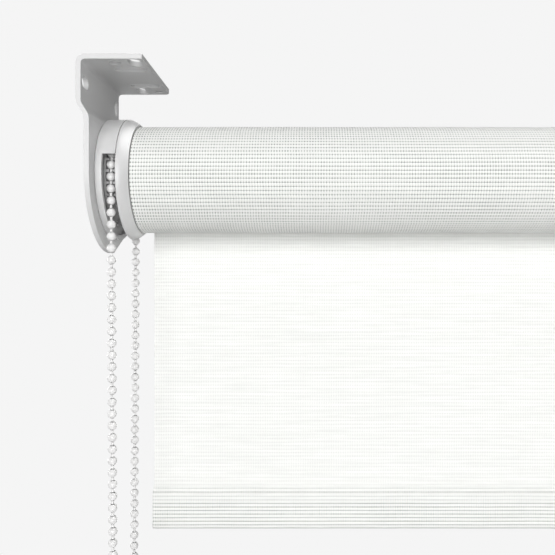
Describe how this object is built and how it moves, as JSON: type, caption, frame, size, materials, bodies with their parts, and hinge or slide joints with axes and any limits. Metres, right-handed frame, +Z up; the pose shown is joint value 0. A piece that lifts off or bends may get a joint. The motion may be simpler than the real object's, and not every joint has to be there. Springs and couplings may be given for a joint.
{
  "type": "roller blind",
  "caption": "Chain-driven roller blind: white steel ceiling brackets, bead-chain clutch, wound woven fabric with a weighted hem, sprung idle end and chain tensioner.",
  "frame": {"origin": "middle of the four ceiling slots, on top of the two brackets' flanges", "axes": "+X along the roller from the chain's end to the idle end, +Y away from the room towards the window, +Z up"},
  "size_m": [0.6, 0.0712, 0.3569],
  "materials": {
    "bracket_paint": "white powder coat, satin",
    "housing_plastic": "light grey moulded plastic, satin",
    "core_plastic": "dark grey moulded plastic",
    "wheel_plastic": "grey moulded plastic",
    "bead_plastic": "white moulded beads on a cord",
    "steel": "bright zinc plate",
    "spring_steel": "oiled spring wire",
    "tube_aluminium": "extruded, mill finish",
    "blind_fabric": "woven with fine open dots, off-white",
    "tape": "double-sided fixing tape"
  },
  "bodies": {
    "mounting": {"control_bracket": "bracket_paint", "idle_bracket": "bracket_paint", "clutch_cover": "housing_plastic", "clutch_core": "core_plastic", "core_clip": "spring_steel", "clutch_screws": "steel", "idle_socket": "housing_plastic", "socket_screws": "steel", "tensioner_plate": "housing_plastic", "tensioner_cover": "housing_plastic", "tensioner_axle": "steel", "bead_chain": "bead_plastic", "chain_connector": "bead_plastic", "fabric_panel": "blind_fabric"},
    "roller": {"chain_wheel": "wheel_plastic", "wrap_springs": "spring_steel", "drive_hub": "housing_plastic", "roller_tube": "tube_aluminium", "fixing_tape": "tape", "fabric_roll": "blind_fabric", "idle_plug": "housing_plastic", "plug_cap": "core_plastic", "pin_spring": "spring_steel"},
    "hem": {"hem_pocket": "blind_fabric", "bottom_bar": "tube_aluminium", "bar_caps": "bead_plastic"},
    "pulley": {"tensioner_pulley": "wheel_plastic"},
    "pin": {"idle_pin": "steel"}
  },
  "joints": [
    {"name": "roller_turn", "type": "hinge", "parent": "mounting", "child": "roller", "pos_m": [0, 0.0075, -0.0555], "axis": [-1, 0, 0], "range_deg": [-230.4, 2851.2], "deforming": ["bead_chain"]},
    {"name": "hem_travel", "type": "slide", "parent": "mounting", "child": "hem", "axis": [0, 0, -1], "range_m": [-0.1138, 1.40828], "deforming": ["fabric_panel"]},
    {"name": "pulley_turn", "type": "hinge", "parent": "mounting", "child": "pulley", "pos_m": [0, 0.0075, -0.31796], "axis": [-1, 0, 0], "range_deg": [-288, 3564]},
    {"name": "pin_press", "type": "slide", "parent": "roller", "child": "pin", "axis": [1, 0, 0], "range_m": [-0.008, 0], "stiffness_N_per_m": 300, "springref_m": 0.01, "deforming": ["pin_spring"]}
  ],
  "couplings": [
    {"joint": "roller_turn", "follows": "hem_travel", "rad_per_m": 35.336},
    {"joint": "pulley_turn", "follows": "hem_travel", "rad_per_m": 44.17}
  ]
}
